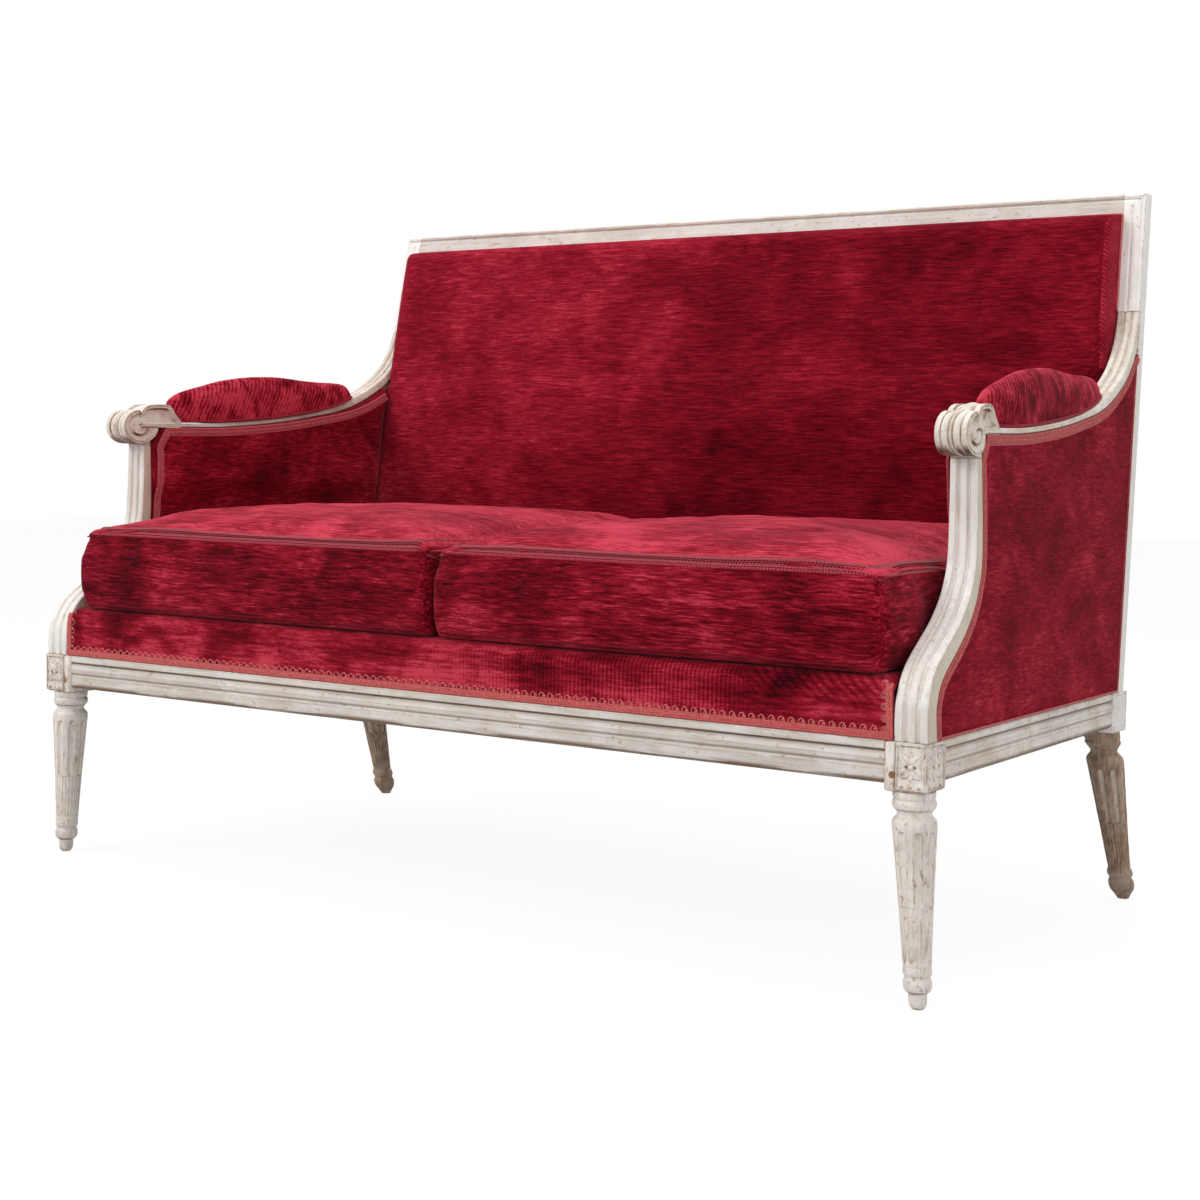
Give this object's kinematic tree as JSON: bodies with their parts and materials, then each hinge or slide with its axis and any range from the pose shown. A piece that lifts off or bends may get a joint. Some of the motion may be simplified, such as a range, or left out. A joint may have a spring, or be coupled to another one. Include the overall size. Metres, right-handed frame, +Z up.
{
  "type": "settee",
  "caption": "Upholstered settee with a painted, carved wood frame on turned, fluted legs, scrolled padded arms, a raked padded back and loose box seat cushions.",
  "frame": {"origin": "on the floor, under the middle of the bounding box", "axes": "+Z up, -Y is the front that a sitter faces, +X is the sitter's left"},
  "size_m": [1.4028, 0.773, 0.961],
  "materials": {
    "painted_wood": "worn grey-white paint",
    "bare_wood": "bare",
    "crimson_velvet": "cut velvet",
    "rose_gimp": "woven braid",
    "jute_cloth": "plain weave",
    "horsehair_pad": "packed fibre",
    "black_cloth": "plain weave"
  },
  "bodies": {
    "settee_frame": {"arm_hessian_left": "jute_cloth", "arm_hessian_right": "jute_cloth", "arm_left": "painted_wood", "arm_pad_gimp_left": "rose_gimp", "arm_pad_gimp_right": "rose_gimp", "arm_pad_left": "crimson_velvet", "arm_pad_right": "crimson_velvet", "arm_post_left": "painted_wood", "arm_post_right": "painted_wood", "arm_right": "painted_wood", "back_hessian": "jute_cloth", "back_stay_rail": "bare_wood", "back_stuffing": "horsehair_pad", "back_webbing": "jute_cloth", "corner_block_front_left": "bare_wood", "corner_block_front_right": "bare_wood", "corner_block_rear_left": "bare_wood", "corner_block_rear_right": "bare_wood", "dust_cover": "black_cloth", "front_leg_left": "painted_wood", "front_leg_right": "painted_wood", "front_seat_rail": "painted_wood", "inside_arm_cover_left": "crimson_velvet", "inside_arm_cover_right": "crimson_velvet", "inside_arm_gimp_left": "rose_gimp", "inside_arm_gimp_right": "rose_gimp", "inside_back_cover": "crimson_velvet", "inside_back_gimp": "rose_gimp", "outside_arm_cover_left": "crimson_velvet", "outside_arm_cover_right": "crimson_velvet", "outside_arm_gimp_left": "rose_gimp", "outside_arm_gimp_right": "rose_gimp", "outside_back_cover": "crimson_velvet", "outside_back_gimp": "rose_gimp", "post_peg_left": "bare_wood", "post_peg_right": "bare_wood", "rail_peg_left": "bare_wood", "rail_peg_right": "bare_wood", "rear_post_left": "painted_wood", "rear_post_right": "painted_wood", "rear_seat_rail": "painted_wood", "seat_cross_brace": "bare_wood", "seat_front_gimp": "rose_gimp", "seat_hessian": "jute_cloth", "seat_platform_cover": "crimson_velvet", "seat_stuffing": "horsehair_pad", "seat_webbing": "jute_cloth", "side_seat_rail_left": "painted_wood", "side_seat_rail_right": "painted_wood", "top_rail": "painted_wood"},
    "cushion_left": {"seat_cushion_left": "crimson_velvet"},
    "cushion_right": {"seat_cushion_right": "crimson_velvet"}
  },
  "joints": [
    {"name": "left_cushion_lift", "type": "slide", "parent": "settee_frame", "child": "cushion_left", "axis": [0, 0, 1], "range_m": [0, 0.2]},
    {"name": "right_cushion_lift", "type": "slide", "parent": "settee_frame", "child": "cushion_right", "axis": [0, 0, 1], "range_m": [0, 0.2]}
  ]
}
